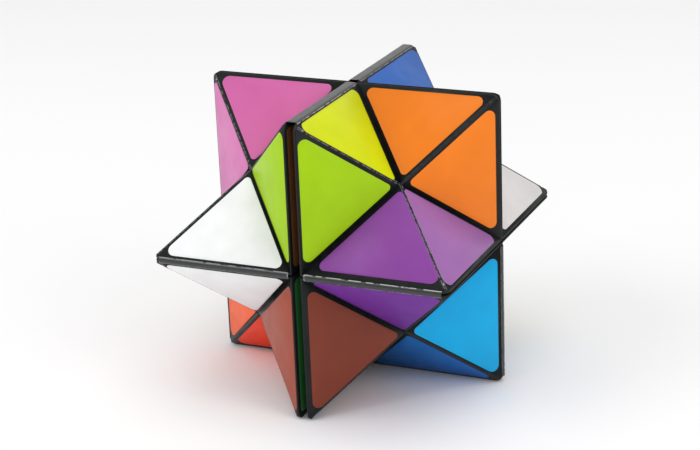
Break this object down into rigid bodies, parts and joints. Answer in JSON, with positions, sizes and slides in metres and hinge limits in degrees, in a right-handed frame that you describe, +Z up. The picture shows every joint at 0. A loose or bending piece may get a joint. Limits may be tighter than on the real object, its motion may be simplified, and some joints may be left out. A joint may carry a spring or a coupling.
{
  "type": "folding star puzzle",
  "caption": "Twelve-pointed folding star puzzle of eight hollow hinged segments with coloured points, which turns inside out into a cube.",
  "frame": {"origin": "centre of the footprint of the eight lower rims, on the surface that the star stands on", "axes": "+Z up, +X to the right as the star is seen from its front, -Y towards the front; the three slits lie on the planes X = 0, Y = 0 and Z = 34.6 mm"},
  "size_m": [0.0712, 0.0698, 0.0695],
  "materials": {
    "dark_moulding": "satin black laminate over hollow plastic walls",
    "hinge_film": "semi-gloss dark film, lightly creased along the fold",
    "lime_label": "smooth printed film, low gloss",
    "white_label": "smooth printed film, low gloss",
    "purple_label": "smooth printed film, low gloss",
    "red_brown_label": "smooth printed film, low gloss",
    "orange_label": "smooth printed film, low gloss",
    "pink_label": "smooth printed film, low gloss",
    "cyan_label": "smooth printed film, low gloss",
    "red_orange_label": "smooth printed film, low gloss",
    "blue_label": "smooth printed film, low gloss",
    "pale_grey_label": "smooth printed film, low gloss",
    "green_label": "smooth printed film, low gloss",
    "yellow_label": "smooth printed film, low gloss",
    "brown_face_label": "smooth printed film, low gloss",
    "dark_green_face_label": "smooth printed film, low gloss"
  },
  "bodies": {
    "front_lower_left_segment": {"front_lower_left_corner_shell": "dark_moulding", "front_lower_left_star_shell": "dark_moulding", "front_lower_left_folding_face_label": "dark_green_face_label", "front_bottom_point_left_label": "red_brown_label", "left_bottom_point_front_label": "red_orange_label", "front_left_point_lower_label": "white_label", "left_lower_hinge_film_front_leaf": "hinge_film"},
    "front_upper_left_segment": {"front_upper_left_corner_shell": "dark_moulding", "front_upper_left_star_shell": "dark_moulding", "front_upper_left_folding_face_label": "brown_face_label", "front_top_point_left_label": "lime_label", "left_top_point_front_label": "pink_label", "front_left_point_upper_label": "white_label", "front_left_hinge_film": "hinge_film"},
    "back_lower_left_segment": {"back_lower_left_corner_shell": "dark_moulding", "back_lower_left_star_shell": "dark_moulding", "back_lower_left_folding_face_label": "dark_green_face_label", "back_bottom_point_left_label": "yellow_label", "left_bottom_point_back_label": "red_orange_label", "back_left_point_lower_label": "green_label", "left_lower_hinge_film_back_leaf": "hinge_film"},
    "back_upper_left_segment": {"back_upper_left_corner_shell": "dark_moulding", "back_upper_left_star_shell": "dark_moulding", "back_upper_left_folding_face_label": "brown_face_label", "back_top_point_left_label": "blue_label", "left_top_point_back_label": "pink_label", "back_left_point_upper_label": "green_label", "back_left_hinge_film": "hinge_film"},
    "front_lower_right_segment": {"front_lower_right_corner_shell": "dark_moulding", "front_lower_right_star_shell": "dark_moulding", "front_lower_right_folding_face_label": "dark_green_face_label", "front_bottom_point_right_label": "red_brown_label", "right_bottom_point_front_label": "cyan_label", "front_right_point_lower_label": "purple_label", "front_right_hinge_film": "hinge_film"},
    "front_upper_right_segment": {"front_upper_right_corner_shell": "dark_moulding", "front_upper_right_star_shell": "dark_moulding", "front_upper_right_folding_face_label": "brown_face_label", "front_top_point_right_label": "lime_label", "right_top_point_front_label": "orange_label", "front_right_point_upper_label": "purple_label", "top_front_hinge_film": "hinge_film"},
    "back_lower_right_segment": {"back_lower_right_corner_shell": "dark_moulding", "back_lower_right_star_shell": "dark_moulding", "back_lower_right_folding_face_label": "dark_green_face_label", "back_bottom_point_right_label": "yellow_label", "right_bottom_point_back_label": "cyan_label", "back_right_point_lower_label": "pale_grey_label", "right_lower_hinge_film": "hinge_film"},
    "back_upper_right_segment": {"back_upper_right_corner_shell": "dark_moulding", "back_upper_right_star_shell": "dark_moulding", "back_upper_right_folding_face_label": "brown_face_label", "back_top_point_right_label": "blue_label", "right_top_point_back_label": "orange_label", "back_right_point_upper_label": "pale_grey_label", "top_back_hinge_film": "hinge_film", "back_right_hinge_film": "hinge_film"}
  },
  "joints": [
    {"name": "book_fold_back", "type": "hinge", "parent": "back_upper_right_segment", "child": "back_upper_left_segment", "pos_m": [0, 0, 0.0696], "axis": [0, 1, 0], "range_deg": [0, 180], "deforming": ["top_back_hinge_film"]},
    {"name": "back_fold_right", "type": "hinge", "parent": "back_upper_right_segment", "child": "back_lower_right_segment", "pos_m": [0, 0.035, 0.0346], "axis": [1, 0, 0], "range_deg": [0, 180], "deforming": ["back_right_hinge_film"]},
    {"name": "side_fold", "type": "hinge", "parent": "back_lower_right_segment", "child": "front_lower_right_segment", "pos_m": [0.03575, 0, 0.0346], "axis": [0, 0, 1], "range_deg": [0, 180], "deforming": ["right_lower_hinge_film"]},
    {"name": "front_fold_right", "type": "hinge", "parent": "front_lower_right_segment", "child": "front_upper_right_segment", "pos_m": [0, -0.035, 0.0346], "axis": [1, 0, 0], "range_deg": [0, 180], "deforming": ["front_right_hinge_film"]},
    {"name": "book_fold_front", "type": "hinge", "parent": "front_upper_right_segment", "child": "front_upper_left_segment", "pos_m": [0, 0, 0.0696], "axis": [0, 1, 0], "range_deg": [0, 180], "deforming": ["top_front_hinge_film"]},
    {"name": "front_fold_left", "type": "hinge", "parent": "front_upper_left_segment", "child": "front_lower_left_segment", "pos_m": [0, -0.035, 0.0346], "axis": [-1, 0, 0], "range_deg": [0, 180], "deforming": ["front_left_hinge_film"]},
    {"name": "back_fold_left", "type": "hinge", "parent": "back_upper_left_segment", "child": "back_lower_left_segment", "pos_m": [0, 0.035, 0.0346], "axis": [1, 0, 0], "range_deg": [0, 180], "deforming": ["back_left_hinge_film"]}
  ],
  "couplings": [
    {"joint": "front_fold_left", "follows": "front_fold_right", "ratio": 1},
    {"joint": "back_fold_left", "follows": "back_fold_right", "ratio": 1},
    {"joint": "book_fold_front", "follows": "book_fold_back", "ratio": 1}
  ]
}
